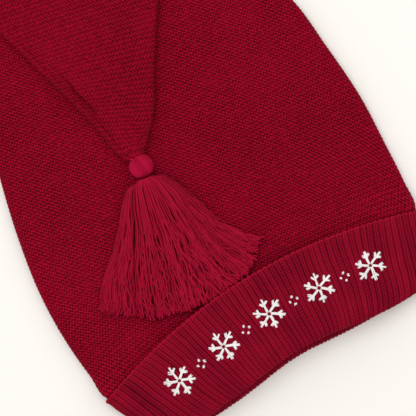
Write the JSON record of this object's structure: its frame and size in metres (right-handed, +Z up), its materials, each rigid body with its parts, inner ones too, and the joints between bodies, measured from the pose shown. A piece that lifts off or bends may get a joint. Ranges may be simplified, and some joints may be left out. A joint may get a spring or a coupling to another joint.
{
  "type": "tasselled knitted stocking cap",
  "caption": "Infant's knitted stocking cap lying flat, with a turned-up rib cuff and its pointed tip folded over the front, ending in a wound knob and a tassel.",
  "frame": {"origin": "on the surface that the cap lies on, under the middle of its bounding box", "axes": "+X to the right of the cap's front, +Y from the brim to the fold at the top, +Z up from the surface"},
  "size_m": [0.1814, 0.233, 0.0284],
  "materials": {
    "moss_knit": "crimson cotton, fine moss stitch",
    "rib_knit": "crimson cotton, 1x1 rib",
    "wound_thread": "crimson cotton thread, tightly wound",
    "tassel_thread": "crimson two-ply cotton strands"
  },
  "bodies": {
    "root": {"crown": "moss_knit", "cuff": "rib_knit", "tassel_knob": "wound_thread", "tassel_skirt": "tassel_thread"}
  },
  "joints": []
}
